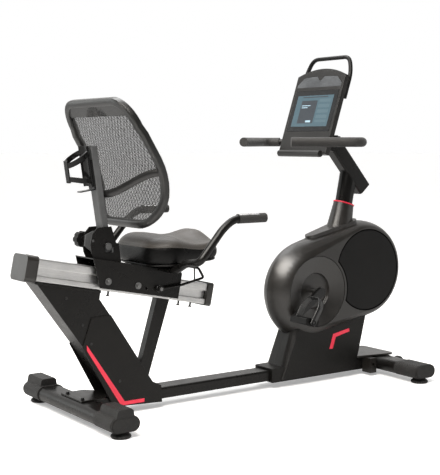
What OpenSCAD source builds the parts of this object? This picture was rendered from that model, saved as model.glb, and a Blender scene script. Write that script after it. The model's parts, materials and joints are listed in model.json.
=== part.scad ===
// Recumbent exercise bike: a sloping seat rail on a rear leg, a drive housing with pedals at
// the front, and a console on a mast. X points forward, Y to the rider's left, Z up; the
// origin is on the floor, under the middle of the bike. All sizes are in millimetres.

/* [Floor frame] */
// Distance between the two stabilizer bars
wheelbase = 1356; // [1330:2:1380]
// Length of each stabilizer bar without its end caps
bar_len = 410; // [380:5:440]
// Reach of one end cap beyond its bar
cap_len = 125; // [110:1:140]
// Half the distance between two levelling feet on one bar
foot_y = 294; // [270:1:300]
// Width of the long base tube
base_w = 80; // [70:1:90]

/* [Seat rail] */
// Length of the bare aluminium rail
rail_len = 686; // [670:1:700]
// Width of the rail
rail_w = 92; // [88:1:96]
// Height of the rail, square to its length
rail_h = 76; // [72:1:80]
// Slope of the rail down towards the pedals, in degrees
rail_tilt = 11.3; // [10:0.1:12.5]

/* [Seat] */
// Length of the seat cushion, front to back
pad_len = 296; // [280:2:310]
// Width of the seat cushion
pad_w = 344; // [320:2:360]
// Half the distance between the two seat handles
handle_y = 313; // [300:1:315]

/* [Backrest] */
// Height of the backrest above its lower edge
back_h = 440; // [420:2:460]
// Widest half width of the backrest, to the outside of its frame
back_half = 249; // [235:1:255]

/* [Drive] */
// Radius of the housing round the crank
crank_housing_r = 198; // [192:1:202]
// Radius of the housing round the flywheel
fly_housing_r = 197; // [192:1:202]
// Half the width of the housing
housing_half = 74; // [70:1:78]
// Crank length from axle to pedal
crank_len = 163; // [150:1:172]
// Angle of the right crank below the horizontal, towards the rear
crank_angle = 34; // [0:1:60]

/* [Console] */
// Height of the handlebar above the floor
bar_z = 945; // [930:1:960]
// Lean of the console screen back from upright
console_tilt = 18.4; // [12:0.1:25]
// Width of the console
console_w = 284; // [270:1:300]

/* [Hidden] */

$fn = 48;
FINE = 96;      // facets round the large discs
HULL_FN = 28;   // facets round anything inside a hull

BLACK = [0.10, 0.10, 0.10];
DARK = [0.16, 0.16, 0.16];
GREY = [0.32, 0.33, 0.34];
SILVER = [0.78, 0.78, 0.76];
STEEL = [0.60, 0.60, 0.62];
RED = [0.94, 0.24, 0.31];

// Running clearance between a shaft and its bore, on the radius
fit = 0.05;
// Clearance between parts that pass each other
gap = 0.5;

rear_bar_x = -638;
front_bar_x = rear_bar_x + wheelbase;
bar_mid_z = 46;
bar_section = [100, 50];
bar_half = bar_section[0] / 2;
base_z = [29, 71];
wheel_x = front_bar_x + 113;
wheel_z = 29;
wheel_y = 62;

rail_mid = [-470, 0, 461];
rail_top = rail_h / 2;

crank = [380, 0, 363];
fly = [641, 0, 431];
crank_flat = 138;
fly_flat = 168;
fly_cover_r = 165;
cover_cut_r = 150;      // the crank side cuts this round out of the flywheel cover
shroud_half = 60;

pivot = [-532, 0, 590];      // recline pivot of the backrest post
knob_at = [-588, 0, 611];    // axis of the recline clamp knob
post_lean = 8.5;
cheek_y = [26, 30];          // inner and outer face of the recline bracket cheeks
side_y = [62, 66];           // inner and outer face of the carriage side plates

mast_at = [573, 0, 696];     // centre of the red ring
mast_lean = 11.5;
arm_tilt = 41.2;

// ---------- shapes that repeat ----------

function unit(v) = v / norm(v);

// Points of a path whose corners are replaced by curves that start "r" before them
function bend(p, r, n = 5) = [
    p[0],
    for (i = [1 : len(p) - 2])
        let (a = p[i] + unit(p[i - 1] - p[i]) * r, b = p[i] + unit(p[i + 1] - p[i]) * r)
            for (k = [0 : n])
                let (t = k / n) (1 - t) * (1 - t) * a + 2 * t * (1 - t) * p[i] + t * t * b,
    p[len(p) - 1]];

// Points of an ellipse, for the section of a swept bar
function oval(a, b, n) = [for (k = [0 : n - 1]) [a * cos(360 * k / n), b * sin(360 * k / n)]];

// Points of a polygon moved inwards by "d"; its points run anticlockwise
function inset(p, d) = [
    for (i = [0 : len(p) - 1])
        let (n = len(p), a = unit(p[i] - p[(i + n - 1) % n]), b = unit(p[(i + 1) % n] - p[i]),
            na = [-a[1], a[0]], nb = [-b[1], b[0]], mid = na + nb)
            p[i] + mid * (2 * d / (mid * mid))];

// One outline swept along a path; "up" is a direction that the path never follows
module sweep(path, outline, up, closed = false) {
    n = len(path);
    m = len(outline);
    ring = [for (i = [0 : n - 1])
        let (ahead = closed ? path[(i + 1) % n] : path[min(i + 1, n - 1)],
            behind = closed ? path[(i + n - 1) % n] : path[max(i - 1, 0)],
            along = unit(ahead - behind), side = unit(cross(up, along)), top = cross(along, side))
            for (q = outline) path[i] + side * q[0] + top * q[1]];
    spans = closed ? n : n - 1;
    walls = [for (i = [0 : spans - 1], j = [0 : m - 1])
        let (a = i * m + j, b = i * m + (j + 1) % m,
            c = ((i + 1) % n) * m + (j + 1) % m, d = ((i + 1) % n) * m + j)
            each [[a, d, c], [a, c, b]]];
    ends = closed ? [] : [
        [for (j = [0 : m - 1]) j],
        [for (j = [0 : m - 1]) n * m - 1 - j]];
    polyhedron(points = ring, faces = concat(walls, ends), convexity = 6);
}

module rod(path, d, up, sides = 12) {
    sweep(path, oval(d / 2, d / 2, sides), up);
}

// An XZ outline made into a slab between two Y values
module slab(y0, y1) {
    translate([0, y1, 0]) rotate([90, 0, 0]) linear_extrude(y1 - y0) children();
}

// A YZ outline made into a bar between two X values
module bar_x(x0, x1) {
    translate([x0, 0, 0]) rotate([90, 0, 90]) linear_extrude(x1 - x0) children();
}

// A cylinder along Y
module pin(at, y0, y1, d) {
    translate([at[0], 0, at[2]]) slab(y0, y1) circle(d = d);
}

// A disc shape turned about the Y axis; its profile holds [radius, y] points
module turned_y(at, profile) {
    translate([at[0], 0, at[2]]) rotate([-90, 0, 0]) rotate_extrude() polygon(profile);
}

module round_rect(size, r) {
    square([size[0] - 2 * r, size[1]], center = true);
    square([size[0], size[1] - 2 * r], center = true);
    for (x = [-1, 1], z = [-1, 1])
        translate([x * (size[0] / 2 - r), z * (size[1] / 2 - r)]) circle(r = r);
}

module stadium(w, h) {
    square([w - h, h], center = true);
    for (x = [-1, 1]) translate([x * (w - h) / 2, 0]) circle(d = h);
}

module both_sides() {
    children();
    mirror([0, 1, 0]) children();
}

module on_rail() {
    translate(rail_mid) rotate([0, rail_tilt, 0]) children();
}

// ---------- floor frame ----------

module base_tube() {
    wall = 3;
    height = base_z[1] - base_z[0];
    rear_plate = [[-26, -76], [62, -76], [88, -46], [262, -46], [262, 46], [88, 46], [62, 76],
        [-26, 76]];
    color(BLACK) {
        bar_x(rear_bar_x + bar_half + gap, front_bar_x - bar_half - gap)
            translate([0, base_z[0] + height / 2]) difference() {
                round_rect([base_w, height], 8);
                round_rect([base_w - 2 * wall, height - 2 * wall], 5);
            }
        translate([rear_bar_x, 0, base_z[1]]) linear_extrude(6) difference() {
            polygon(rear_plate);
            for (y = [-54, 54]) translate([-10, y]) circle(d = 9);
        }
        translate([front_bar_x - 4, 0, base_z[1]]) linear_extrude(2)
            square([92, 120], center = true);
    }
}

module stabilizer(x) {
    color(BLACK) translate([x, 0, 0]) slab(-bar_len / 2, bar_len / 2)
        translate([0, bar_mid_z]) difference() {
            stadium(bar_section[0], bar_section[1]);
            stadium(bar_section[0] - 6, bar_section[1] - 6);
        }
}

module rear_stabilizer() stabilizer(rear_bar_x);

// The front bar also carries the axle of the transport wheels
module front_stabilizer() {
    bracket = [[-75, 35], [-70, 19], [-8, -9], [5, -9], [10, 3], [5, 11], [-48, 36]];
    stabilizer(front_bar_x);
    color(BLACK) {
        both_sides() translate([wheel_x, 0, wheel_z]) slab(41, 47) polygon(bracket);
        pin([wheel_x, 0, wheel_z], -77, 77, 8);
    }
}

// A sleeve that closes one end of a stabilizer, with a bore for its levelling foot
module end_cap(x) {
    y0 = bar_len / 2 + 0.3;
    y1 = bar_len / 2 + cap_len;
    difference() {
        translate([x, 0, bar_mid_z + 1]) union() {
            slab(y0, y1 - 9) stadium(bar_section[0] + 8, bar_section[1] + 3);
            slab(y1 - 9, y1 - 3) stadium(bar_section[0] + 5, bar_section[1]);
            slab(y1 - 3, y1) stadium(bar_section[0] - 3, bar_section[1] - 7);
        }
        translate([x, foot_y, 0]) cylinder(h = 56, r = 5 + fit);
    }
}

module rear_end_caps() {
    block = [[-36, 14], [-30, 46], [-24, 52], [22, 52], [28, 46], [32, 14]];
    color(DARK) both_sides() {
        end_cap(rear_bar_x);
        translate([rear_bar_x, 0, bar_mid_z]) slab(foot_y - 76, bar_len / 2 + cap_len - 1)
            polygon([for (q = block) [q[0], max(q[1], 18)]]);
    }
}

module front_end_caps() {
    color(DARK) both_sides() end_cap(front_bar_x);
}

// A levelling foot: a rubber disc on a threaded stem that turns in the end cap
module foot(x, y) {
    color(BLACK) translate([x, y, 0]) rotate_extrude()
        polygon([[0, 0], [31, 0], [34, 4], [33, 9], [24, 16], [20, 19.5], [5, 19.5],
            [5, 50], [0, 50]]);
}

module foot_rear_right() foot(rear_bar_x, -foot_y);

module foot_rear_left() foot(rear_bar_x, foot_y);

module foot_front_right() foot(front_bar_x, -foot_y);

module foot_front_left() foot(front_bar_x, foot_y);

module transport_wheel(y) {
    color(BLACK) turned_y([wheel_x, 0, wheel_z],
        [[4 + fit, y - 9], [15, y - 9], [20, y - 12], [25, y - 8], [25, y + 8], [20, y + 12],
            [15, y + 9], [4 + fit, y + 9]]);
}

module transport_wheel_right() transport_wheel(-wheel_y);

module transport_wheel_left() transport_wheel(wheel_y);

module hex_bolt(d, h) {
    cylinder(h = h, d = d, $fn = 6);
    translate([0, 0, -0.8]) cylinder(h = 0.8, d = d * 1.35);
}

module frame_bolts() {
    color(STEEL) {
        for (y = [-54, 54]) translate([rear_bar_x - 10, y, base_z[1] + 6.8]) hex_bolt(13, 6);
        on_rail() for (u = [-51, 243, 295])
            translate([u, -24, -rail_top]) rotate([180, 0, 0]) union() {
                cylinder(h = 14, d = 7);
                translate([0, 0, 14]) cylinder(h = 3.5, d = 14);
            }
        both_sides() for (p = [[-700, 426], [-640, 330], [-610, 262], [-500, 120]])
            translate([p[0], 0, p[1]]) slab(p[1] > 300 ? 46 : 50, p[1] > 300 ? 48 : 51.5)
                circle(d = 10);
    }
}

// ---------- rear leg and seat rail ----------

// Side outlines, anticlockwise seen from the rider's right
leg_outline = [[-809, 486], [-643, 258], [-520, 77.3], [-378, 77.3], [-395, 138], [-536, 358],
    [-574, 412], [-570, 436]];
cover_outline = [[-643, 252], [-532, 46], [-489, 30], [-327, 22], [-331, 83], [-366, 101],
    [-533, 355], [-607, 352]];

module rear_leg() {
    half = 46;
    wall = 4;
    color(BLACK) {
        difference() {
            slab(-half, half) polygon(leg_outline);
            slab(-half + wall, half - wall) polygon(inset(leg_outline, wall));
        }
        on_rail() translate([-336, 0, -rail_top - 9]) linear_extrude(8.7)
            translate([120, 0]) square([248, rail_w + 4], center = true);
    }
}

// One half of the plastic cover round the foot of the leg
module leg_cover() {
    half = 50;
    inner = 46.4;
    difference() {
        slab(-half, -0.2) polygon(cover_outline);
        slab(-inner, 1) polygon(inset(cover_outline, 3));
        slab(-inner, 1) polygon([[-660, 200], [-500, 72.5], [-300, 72.5], [-300, 27],
            [-660, 27]]);
        slab(-inner, 1) polygon([[-700, 250], [-500, 60], [-350, 60], [-350, 130], [-500, 400],
            [-700, 400]]);
    }
}

module leg_cover_right() {
    color(BLACK) leg_cover();
}

module leg_cover_left() {
    color(BLACK) mirror([0, 1, 0]) leg_cover();
}

module front_strut() {
    outer = [[-325, 392.6], [-399, 145.3], [-394.5, 138.4], [-389, 118], [-361, 118],
        [-273, 382.2]];
    color(BLACK) difference() {
        slab(-15, 15) polygon(outer);
        slab(-12.5, 12.5) polygon(inset(outer, 2.5));
    }
}

// The slider groove runs along both sides of the rail
groove = [13, 30];

module seat_rail() {
    color(SILVER) on_rail() bar_x(-rail_len / 2, rail_len / 2) difference() {
        round_rect([rail_w, rail_h], 4);
        for (s = [-1, 1]) translate([s * (rail_w / 2 - groove[0] / 2 + 0.5), -4])
            square([groove[0] + 1, groove[1]], center = true);
        translate([0, 24]) square([rail_w - 8, 18], center = true);
        translate([0, -27.5]) square([rail_w - 8, 13], center = true);
        square([rail_w - 2 * groove[0] - 8, 56], center = true);
    }
}

module rail_end_caps() {
    color(DARK) on_rail() {
        bar_x(-rail_len / 2 - 42, -rail_len / 2 - 4) round_rect([rail_w + 18, rail_h + 12], 16);
        bar_x(-rail_len / 2 - 4, -rail_len / 2 - 0.3) round_rect([rail_w + 20, rail_h + 14], 16);
        bar_x(rail_len / 2 + 0.3, rail_len / 2 + 24) round_rect([rail_w + 12, rail_h + 10], 10);
    }
}

// ---------- drive housing ----------

// Profile of a housing disc: flat to "flat", then round to "r"; "power" shapes the round
function rim(r, flat, half, power, n = 6) = [
    for (k = [0 : n])
        let (a = 90 * k / n) [
            flat + (r - flat) * pow(sin(a), 2 / power),
            half * pow(max(cos(a), 0), 2 / power)]];

// The housing's outer form, for one side: -Y
module housing_form(shrink) {
    hull() {
        turned_half(crank, crank_housing_r - shrink, crank_flat, 1.5, shrink);
        turned_half(fly, fly_housing_r - shrink, fly_flat - shrink, 2, shrink);
    }
}

module turned_half(at, r, flat, power, shrink) {
    edge = rim(r, flat, housing_half - shrink, power);
    translate([at[0], 0, at[2]]) rotate([90, 0, 0])
        rotate_extrude($fn = FINE) polygon(concat([[0, 0], [0, housing_half - shrink]], edge));
}

module housing_shell() {
    wall = 4.5;
    face = -housing_half;
    difference() {
        housing_form(0);
        translate([0, 1, 0]) housing_form(wall);
        translate([300, 50.2 - 0.4, 400]) cube([1600, 100, 800], center = true);
        pin(crank, face - 9, face + 20, 2 * crank_flat + 3);
        difference() {
            pin(fly, face - 9, face + 3.3, 2 * fly_cover_r + 1);
            pin(crank, face - 19, face + 20, 2 * cover_cut_r - 1);
        }
        translate([400, 0, 150]) cube([180, 104, 120], center = true);
        on_mast() translate([0, 0, -160]) cylinder(h = 160, r = 44);
    }
}

module drive_housing_right() {
    color(DARK) housing_shell();
}

module drive_housing_left() {
    color(DARK) mirror([0, 1, 0]) housing_shell();
}

module flywheel_covers() {
    groove = 4.5;    // width of the gap round the cover
    color(BLACK) both_sides() difference() {
        pin(fly, -housing_half + 0.1, -housing_half + 3.1, 2 * (fly_cover_r - groove));
        pin(crank, -housing_half - 9, -housing_half + 20, 2 * (cover_cut_r + groove));
    }
}

module shroud_form(d) {
    foot = [[204, 80], [168, 79], [170, 24], [664, 22], [664, 72.6], [604, 72.6], [592, 80]];
    wide = [[216, 30], [590, 26], [590, 80], [600, 99], [650, 262], [560, 330], [340, 330]];
    narrow = [[203, 30], [598, 26], [598, 80], [608, 99], [658, 262], [560, 340], [322, 340]];
    hull() {
        slab(-shroud_half + d, 0) polygon(inset(wide, d));
        slab(-shroud_half + 23 + d, 0) polygon(inset(narrow, d));
    }
    slab(-shroud_half + 6 + d, 0) polygon(inset(foot, d));
}

module lower_shroud() {
    difference() {
        shroud_form(0);
        translate([0, 1, 0]) shroud_form(3.5);
        translate([0, 0.5, 0]) housing_form(-0.3);
        translate([0, 49.8, 200]) cube([2000, 100, 1000], center = true);
        bar_x(150, 700) translate([0, 50]) square([base_w + 2, 48], center = true);
        translate([420, 0, 20]) cube([400, 80, 20], center = true);
    }
}

module lower_shroud_right() {
    color(BLACK) lower_shroud();
}

module lower_shroud_left() {
    color(BLACK) mirror([0, 1, 0]) lower_shroud();
}

module trim_stripes() {
    leg_stripe = [[-627, 260], [-627, 241], [-496, 33], [-401, 33], [-401, 46], [-481, 46]];
    shroud_stripe = [[452, 126], [469, 125], [485, 171], [558, 186], [555, 199], [471, 184]];
    color(RED) both_sides() {
        slab(-50.6, -50.02) polygon(leg_stripe);
        slab(-shroud_half - 0.6, -shroud_half - 0.02) polygon(shroud_stripe);
    }
    color(RED) difference() {
        on_ring() translate([0, 0, 0.2]) linear_extrude(5) ellipse(ring_oval);
        on_mast() translate([0, 0, -60]) linear_extrude(120) ellipse(mast_oval, 0.3);
    }
}

module inner_frame() {
    shell_y = [-36, 12];
    post_y = [-30, 8];
    fork_y = [40, 44.4];
    lower_post = [[330, 71.5], [470, 71.5], [396, 354], [364, 354]];
    upper_post = [[366, 378], [394, 348], [560, 543], [508, 552]];
    head = [[506, 566], [500, 545], [574, 538], [584, 549.8]];
    fork = [[508, 546], [618, 420], [641, 412], [662, 424], [660, 444], [576, 552], [516, 560]];
    color(BLACK) {
        difference() {
            union() {
                pin(crank, shell_y[0], shell_y[1], 52);
                slab(post_y[0], post_y[1]) polygon(lower_post);
                slab(post_y[0], post_y[1]) polygon(upper_post);
            }
            pin(crank, -50, 50, 20 + 2 * fit);
        }
        slab(-45, 45) polygon(head);
        both_sides() slab(fork_y[0], fork_y[1]) polygon(fork);
        pin(fly, -fork_y[1] - 3, fork_y[1] + 3, 12);
    }
}

module crank_axle() {
    color(STEEL) {
        pin(crank, -92, 92, 20);
    }
}

module drive_pulley() {
    r = 110;
    color(DARK) difference() {
        turned_y(crank, [[10, 14], [30, 14], [30, 24], [r - 12, 24], [r - 12, 18], [r, 18],
            [r, 34], [r - 12, 34], [r - 12, 28], [30, 28], [30, 37], [10, 37]]);
        for (a = [0 : 60 : 359]) pin(crank + 64 * [cos(a), 0, sin(a)], 0, 50, 36);
    }
}

module crank_discs() {
    h = housing_half;
    color(DARK) both_sides() difference() {
        turned_y(crank, [[10, -h + 30], [68, -h + 30], [72, -h + 18], [crank_flat, -h + 1],
            [crank_flat, -h + 4.5], [76, -h + 21], [71, -h + 34], [10, -h + 34]]);
        pin(crank, -200, 200, 20);
    }
}

function pedal_at(side) = crank + [
    side * crank_len * cos(crank_angle), side * 152, side * crank_len * sin(crank_angle)];

module crank_arms() {
    hub_y = [80, 95];
    color(STEEL) for (side = [-1, 1]) mirror([0, side < 0 ? 1 : 0, 0]) {
        end = [pedal_at(side)[0], 0, pedal_at(side)[2]];
        difference() {
            hull() {
                pin(crank, hub_y[0], hub_y[1], 36, $fn = HULL_FN);
                pin(end, hub_y[0] + 4, hub_y[1] + 2, 26, $fn = HULL_FN);
            }
            pin(crank, 0, 92, 20);
        }
        pin(end, hub_y[1], 196, 9);
    }
}

pedal_tilt = 12;
pedal_size = [64, 92, 26];

module at_pedal(side) {
    translate(pedal_at(side)) rotate([0, pedal_tilt, 0]) children();
}

module pedal(side) {
    l = pedal_size[0];
    w = pedal_size[1];
    h = pedal_size[2];
    color(BLACK) at_pedal(side) difference() {
        union() {
            slab(-w / 2, w / 2) round_rect([l, h], 7);
            translate([0, side * (w / 2 + 5), 0]) slab(-5, 5) circle(d = 20);
            for (k = [-2 : 2]) slab(k * 18 - 3, k * 18 + 3)
                translate([0, 1.5]) square([l - 12, h], center = true);
        }
        slab(-w, w) circle(r = 4.5 + fit);
        for (k = [-1.5 : 1 : 1.5]) translate([0, k * 18, h / 2])
            cube([l - 24, 7, 10], center = true);
    }
}

module pedal_right() pedal(-1);

module pedal_left() pedal(1);

strap_lean = 20;

// The strap rises from both ends of the pedal and leans forward over the foot
module pedal_strap(side) {
    w = pedal_size[1] / 2 + 3;
    path = bend([[0, -w, 6.5], [0, -w, 62], [0, -w + 18, 96], [0, w - 18, 96], [0, w, 62],
        [0, w, 6.5]], 16, 4);
    color(DARK) at_pedal(side) rotate([0, strap_lean, 0])
        sweep(path, [[-1.2, -13], [1.2, -13], [1.2, 13], [-1.2, 13]], [1, 0, 0]);
}

module pedal_strap_right() pedal_strap(-1);

module pedal_strap_left() pedal_strap(1);

module flywheel() {
    color(STEEL) turned_y(fly, [[6 + fit, -34], [22, -34], [22, -18], [100, -18], [100, -30],
        [120, -30], [120, 8], [100, 8], [100, -10], [38, -10], [38, 12], [34, 18], [34, 34],
        [38, 37], [6 + fit, 37]]);
}

module drive_belt() {
    inner = 0.3;    // the belt stands this far off both pulleys
    thick = 3;
    color(BLACK) difference() {
        hull() {
            pin(crank, 19, 33, 2 * (110 + inner + thick), $fn = FINE);
            pin(fly, 19, 33, 2 * (34 + inner + thick), $fn = FINE);
        }
        hull() {
            pin(crank, 10, 40, 2 * (110 + inner), $fn = FINE);
            pin(fly, 10, 40, 2 * (34 + inner), $fn = FINE);
        }
    }
}

module front_top_cover() {
    color(DARK) translate([0, 0, base_z[1] + 2.3]) linear_extrude(7) hull() {
        translate([604, 0]) square([8, 128], center = true);
        for (s = [-1, 1]) translate([758, s * 76]) circle(r = 18, $fn = HULL_FN);
    }
}

module power_inlet() {
    color(GREY) difference() {
        translate([651, -79.5, 42]) cube([33, 49, 60], center = true);
        pin([651, 0, 46], -110, -92, 12);
    }
}

// ---------- mast, console and handlebar ----------

module on_mast() {
    translate(mast_at) rotate([0, mast_lean, 0]) children();
}

mast_oval = [37, 32];
ring_oval = [45, 40];
ring_lean = 17;

// An ellipse with the given half axes
module ellipse(axes, grow = 0) {
    polygon(oval(axes[0] + grow, axes[1] + grow, HULL_FN));
}

module on_housing_top() {
    translate([478, 0, 592]) rotate([0, -14.6, 0]) children();
}

module mast_collar() {
    color(DARK) difference() {
        on_housing_top() translate([0, 0, -30]) linear_extrude(40) hull() {
            translate([-73, 0]) circle(r = 27, $fn = HULL_FN);
            for (s = [-1, 1]) translate([112, s * 18]) circle(r = 32, $fn = HULL_FN);
        }
        both_sides() housing_form(-0.4);
        sleeve_form();
    }
}

// Outer form of the sleeve: it flares from the ring down into the collar
module sleeve_form() {
    hull() {
        on_ring() translate([0, 0, -1]) linear_extrude(1) ellipse(ring_oval, -2);
        translate([548, 0, 600]) rotate([0, -16, 0]) linear_extrude(1) ellipse([62, 46]);
    }
}

module on_ring() {
    translate(mast_at) rotate([0, ring_lean, 0]) children();
}

module mast_sleeve() {
    color(DARK) difference() {
        sleeve_form();
        on_mast() translate([0, 0, -160]) linear_extrude(220) ellipse(mast_oval, 0.5);
        both_sides() housing_form(-0.4);
    }
}

module mast_tube() {
    color(DARK) difference() {
        on_mast() translate([0, 0, -140]) linear_extrude(330) ellipse(mast_oval);
        on_mast() translate([0, 0, -141]) linear_extrude(400) ellipse(mast_oval, -3);
        on_arm() translate([-arm_section[0] / 2 - 0.3, -100, -400]) cube([400, 200, 800]);
    }
}

module on_arm() {
    translate(arm_at) rotate([0, -arm_tilt, 0]) children();
}

arm_at = [522, 0, 925];
arm_section = [62, 50];

module console_arm() {
    bracket = [[408, 930], [470, 912], [506, 906], [526, 928], [526, 968], [420.8, 968]];
    color(DARK) {
        on_arm() translate([0, 0, -226]) linear_extrude(262) difference() {
            round_rect(arm_section, 8);
            round_rect(arm_section - [6, 6], 5);
        }
        slab(-30, 30) polygon(bracket);
    }
}

grip_end = [183, 149];
bar_corner = [400, 299];

function bar_path() = bend([[grip_end[0], -grip_end[1], bar_z],
    [bar_corner[0], -bar_corner[1], bar_z], [564, -64, bar_z], [564, 64, bar_z],
    [bar_corner[0], bar_corner[1], bar_z], [grip_end[0], grip_end[1], bar_z]], 48, 7);

module handlebar() {
    color(BLACK) sweep(bar_path(), oval(13, 13, 16), [0, 0, 1]);
}

// The foam grips run from the ends of the handlebar round its outer corners
module handlebar_grips() {
    color(DARK) both_sides() difference() {
        sweep(bend([[grip_end[0] - 4, -grip_end[1] + 2.3, bar_z],
            [bar_corner[0], -bar_corner[1], bar_z], [438, -245, bar_z]], 48, 7),
            oval(18, 18, 20), [0, 0, 1]);
        sweep(bar_path(), oval(13.3, 13.3, 16), [0, 0, 1]);
    }
}

console_at = [382, 0, 1001];

// X points away from the rider, Z up the screen
module on_console() {
    translate(console_at) rotate([0, console_tilt, 0]) children();
}

module console_face(half, top, bottom, rise) {
    intersection() {
        translate([-half, bottom]) square([2 * half, top + rise - bottom]);
        translate([0, top + rise - 360]) circle(r = 360, $fn = FINE);
    }
}

module console_housing() {
    half = console_w / 2;
    color(DARK) on_console() {
        difference() {
            union() {
                bar_x(0, 22) console_face(half, 214, -106, 30);
                bar_x(22, 34) console_face(half - 26, 206, -98, 26);
            }
            bar_x(-1, 3) translate([0, 69]) square([257, 167], center = true);
            bar_x(-1, 3) trim_outline(0.5);
        }
        translate([-8, 0, -108]) rotate([90, 0, 0]) cylinder(h = console_w - 36, d = 26,
            center = true);
        translate([40, 0, -20]) cube([13, 70, 90], center = true);
    }
}

module trim_outline(d) {
    polygon([[-130 - d, 168 - d], [-130 - d, 180 + d], [-96, 209 + d], [-22 - d, 212 + d],
        [-5 - d, 195 + d], [5 + d, 195 + d], [22 + d, 212 + d], [96, 209 + d],
        [130 + d, 180 + d], [130 + d, 168 - d]]);
}

module console_trim() {
    color(GREY) on_console() bar_x(0.2, 2.8) trim_outline(0);
}

module console_screen() {
    color([0.42, 0.55, 0.62]) on_console() translate([0.5, 0, 69]) bar_x(-0.8, 2.3)
        round_rect([256, 166], 5);
}

module console_handle() {
    y = 133;
    path = bend([[31, -y, 128], [31, -y, 232], [27, -y + 26, 297], [27, y - 26, 297],
        [31, y, 232], [31, y, 128]], 30, 6);
    color(BLACK) on_console() sweep(path, oval(8, 8.4, 14), [1, 0, 0.2]);
}

// ---------- seat ----------

side_plate = [[-109, -30], [212, -30], [212, 60], [206, 66], [-152, 66]];
bolt_u = [-82, 38, 124];
bolt_v = -4;

module seat_carriage() {
    cheek = [[-478, 526], [-488, 598], [-498, 600], [-516, 657], [-571, 655], [-590, 634],
        [-598, 600], [-594, 570], [-584, 546]];
    color(BLACK) {
        on_rail() {
            both_sides() difference() {
                slab(side_y[0], side_y[1]) polygon(side_plate);
                pin([74, 0, -9], 60, 70, 9);
            }
            slab(-side_y[0], side_y[0]) polygon([[-152, 62], [206, 62], [206, 66],
                [-152, 66]]);
        }
        both_sides() difference() {
            slab(cheek_y[0], cheek_y[1]) polygon(cheek);
            pin(pivot, 0, 60, 16);
            pin(knob_at, 0, 60, 10 + 2 * fit);
            translate([-524, 0, 576]) slab(0, 60) square([34, 16], center = true);
        }
        difference() {
            slab(-50, 50) polygon([[-394, 516], [-394, 506], [-250, 478], [-250, 523.5]]);
            translate([bar_at[0], 0, bar_at[1] + 6]) cube([28, 120, 40], center = true);
        }
    }
}

// Axle bolts of the slide shoes, the shoes themselves, and the recline pivot bolt
module carriage_bolts() {
    color(STEEL) {
        on_rail() both_sides() for (u = bolt_u) {
            pin([u, 0, bolt_v], side_y[1], side_y[1] + 3, 24);
            pin([u, 0, bolt_v], side_y[1] + 3, u == bolt_u[2] ? bail_y + 6 : side_y[1] + 9, 13);
            pin([u, 0, bolt_v], rail_w / 2 + 0.5, side_y[0], 14);
            pin([u, 0, bolt_v], rail_w / 2 - 10, rail_w / 2 + 0.5, 26);
        }
        pin(pivot, -cheek_y[1] - 5, cheek_y[1] + 5, 16);
        both_sides() pin(pivot, cheek_y[1], cheek_y[1] + 8, 24);
    }
}

bar_at = [-335, 505];       // crossbar of the seat handles
pad_at = [-270, 0, 531.5];
pad_tilt = -3;

module on_seat() {
    translate(pad_at) rotate([0, pad_tilt, 0]) children();
}

// Plan of the seat, wider at the back
module seat_plan(d) {
    hull() for (s = [-1, 1]) {
        translate([-pad_len / 2 + 98, s * (pad_w / 2 - 98)]) circle(r = 98 + d, $fn = HULL_FN);
        translate([pad_len / 2 - 86, s * (pad_w / 2 - 96)]) circle(r = 86 + d, $fn = HULL_FN);
    }
}

module seat_pan() {
    color(BLACK) on_seat() translate([0, 0, -7]) linear_extrude(6) seat_plan(-10);
}

module seat_pad() {
    color(DARK) on_seat() {
        hull() {
            translate([0, 0, -0.8]) linear_extrude(8) seat_plan(-6);
            translate([0, 0, 12]) linear_extrude(38) seat_plan(0);
            translate([0, 0, 66]) linear_extrude(4) seat_plan(-20);
            translate([0, 0, 88]) linear_extrude(2) seat_plan(-56);
        }
    }
}

function handle_path() = bend([[bar_at[0], 0, bar_at[1]], [bar_at[0], -158, bar_at[1]],
    [-340, -228, 536], [-343, -handle_y, 546], [-249, -handle_y, 655], [-203, -handle_y, 686],
    [-73, -handle_y, 686]], 25, 5);

module seat_handlebar() {
    half = handle_path();
    n = len(half);
    color(DARK) rod(concat([for (i = [n - 1 : -1 : 0]) half[i]],
        [for (i = [1 : n - 1]) [half[i][0], -half[i][1], half[i][2]]]), 27,
        unit([1, 0.001, -1.3]), 14);
}

grip_x = [-187, -71];
plate_x = [-165, -122];

module seat_grips() {
    color(DARK) both_sides() difference() {
        bar_x(grip_x[0], grip_x[1]) translate([-handle_y, 686]) circle(d = 33);
        bar_x(grip_x[0] - 1, grip_x[1] - 4) translate([-handle_y, 686]) circle(d = 27.4);
        for (x = plate_x) translate([x, -handle_y, 686 + 15]) cube([40, 22.4, 6],
            center = true);
    }
}

module pulse_plates() {
    color(SILVER) both_sides() for (x = plate_x) intersection() {
        bar_x(x - 19.7, x + 19.7) translate([-handle_y, 686]) difference() {
            circle(d = 33.6);
            circle(d = 27.6);
        }
        translate([x, -handle_y, 686 + 15.5]) cube([39.4, 21.8, 6.6], center = true);
    }
}

// The bail is a bent rod whose two eyes turn on the front carriage bolts
bail_y = 80;
bail_at = rail_mid + [
    bolt_u[2] * cos(rail_tilt) + bolt_v * sin(rail_tilt), 0,
    -bolt_u[2] * sin(rail_tilt) + bolt_v * cos(rail_tilt)];

module release_bail() {
    grip = [-190, 496];
    half = [[bail_at[0] + 9, -bail_y, bail_at[2] + 1], [-262, -bail_y, 441],
        [-168, -bail_y, 460], [grip[0], -bail_y, grip[1]]];
    path = bend(concat(half, [for (i = [3 : -1 : 0]) [half[i][0], bail_y, half[i][2]]]), 9, 4);
    color(BLACK) {
        rod(path, 9, unit([-0.9, 0.05, 1]), 10);
        both_sides() difference() {
            pin(bail_at, bail_y - 4, bail_y + 4, 23);
            pin(bail_at, 0, 100, 13 + 2 * fit);
        }
        translate([grip[0], -54, 451]) cylinder(h = grip[1] - 451, d = 5);
    }
}

// ---------- backrest ----------

module on_post() {
    translate(pivot) rotate([0, -post_lean, 0]) children();
}

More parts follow.
